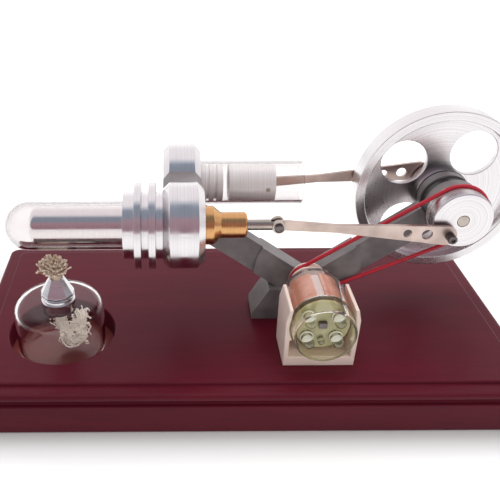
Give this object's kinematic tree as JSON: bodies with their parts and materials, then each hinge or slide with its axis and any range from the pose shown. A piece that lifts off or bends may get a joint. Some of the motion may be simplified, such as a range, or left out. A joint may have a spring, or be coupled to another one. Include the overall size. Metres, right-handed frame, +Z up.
{
  "type": "desk model hot-air engine with generator",
  "caption": "Desk model hot-air engine with a spirit burner, two cylinders, a flywheel and a belt-driven LED generator on a wooden plinth.",
  "frame": {"origin": "centre of the plinth's underside, on the floor", "axes": "+X from the hot tube to the flywheel, along the cylinders; +Y to the rear, along the crankshaft; +Z up"},
  "size_m": [0.2445, 0.117, 0.1119],
  "materials": {
    "mahogany": "dark red stained and lacquered wood",
    "clear_glass": "clear glass",
    "clear_plastic": "clear moulded plastic",
    "bright_metal": "polished bright metal",
    "turned_aluminium": "bright turned aluminium",
    "satin_aluminium": "satin aluminium",
    "brass": "turned brass",
    "grey_casting": "matte dark grey painted casting",
    "black_rubber": "black rubber",
    "red_rubber": "red rubber",
    "cream_plastic": "cream moulded plastic",
    "copper_wire": "enamelled copper winding",
    "board_green": "pale green circuit board",
    "led_resin": "clear resin",
    "cotton": "twisted cotton",
    "dull_steel": "ground steel",
    "dark_steel": "dark steel",
    "nickel_strip": "nickel plated strip"
  },
  "bodies": {
    "engine": {"wood_base": "mahogany", "burner_bottle": "clear_glass", "wick_holder": "bright_metal", "burner_wick": "cotton", "burner_cotton": "cotton", "hot_tube": "clear_glass", "cooler": "turned_aluminium", "brass_gland": "brass", "frame": "grey_casting", "power_cylinder_head": "turned_aluminium", "power_cylinder_glass": "clear_glass", "front_bearing_ring": "black_rubber", "rear_bearing_ring": "black_rubber", "drive_belt": "red_rubber", "generator_cradle": "cream_plastic", "generator_case": "clear_plastic", "generator_coils": "copper_wire", "led_cap": "clear_plastic", "led_board": "board_green", "led_upper_left": "led_resin", "led_upper_right": "led_resin", "led_lower_left": "led_resin", "led_lower_right": "led_resin"},
    "displacer_unit": {"displacer": "bright_metal", "displacer_rod": "dull_steel", "displacer_wrist_pin": "dark_steel"},
    "front_rod_unit": {"front_connecting_rod": "nickel_strip", "front_crank_screw": "dark_steel"},
    "rotor": {"crankshaft": "dull_steel", "crank_pulley": "turned_aluminium", "front_crank_pin": "dull_steel", "flywheel": "turned_aluminium", "rear_crank_disc": "turned_aluminium", "rear_crank_pin": "dull_steel"},
    "piston_unit": {"power_piston": "satin_aluminium", "power_wrist_pin": "dull_steel"},
    "rear_rod_unit": {"rear_connecting_rod": "nickel_strip", "rear_crank_screw": "dark_steel"},
    "generator_rotor": {"generator_shaft": "dull_steel", "generator_pulley": "cream_plastic"}
  },
  "joints": [
    {"name": "crankshaft_spin", "type": "hinge", "parent": "engine", "child": "rotor", "pos_m": [0.08885, 0, 0.0742], "axis": [0, 1, 0], "continuous": true},
    {"name": "generator_spin", "type": "hinge", "parent": "engine", "child": "generator_rotor", "pos_m": [0.0289, -0.013, 0.0408], "axis": [0, 1, 0], "continuous": true},
    {"name": "displacer_slide", "type": "slide", "parent": "engine", "child": "displacer_unit", "axis": [1, 0, 0], "range_m": [-0.0024, 0.013]},
    {"name": "front_rod_swing", "type": "hinge", "parent": "displacer_unit", "child": "front_rod_unit", "pos_m": [0.01202, -0.0165, 0.0742], "axis": [0, 1, 0], "range_deg": [-10.57, 1.87]},
    {"name": "piston_slide", "type": "slide", "parent": "engine", "child": "piston_unit", "axis": [1, 0, 0], "range_m": [-0.0025, 0.0129]},
    {"name": "rear_rod_swing", "type": "hinge", "parent": "piston_unit", "child": "rear_rod_unit", "pos_m": [0.01214, 0.025, 0.0742], "axis": [0, 1, 0], "range_deg": [-1.78, 10.66]}
  ],
  "couplings": [
    {"joint": "generator_spin", "follows": "crankshaft_spin", "ratio": 1.6689}
  ]
}
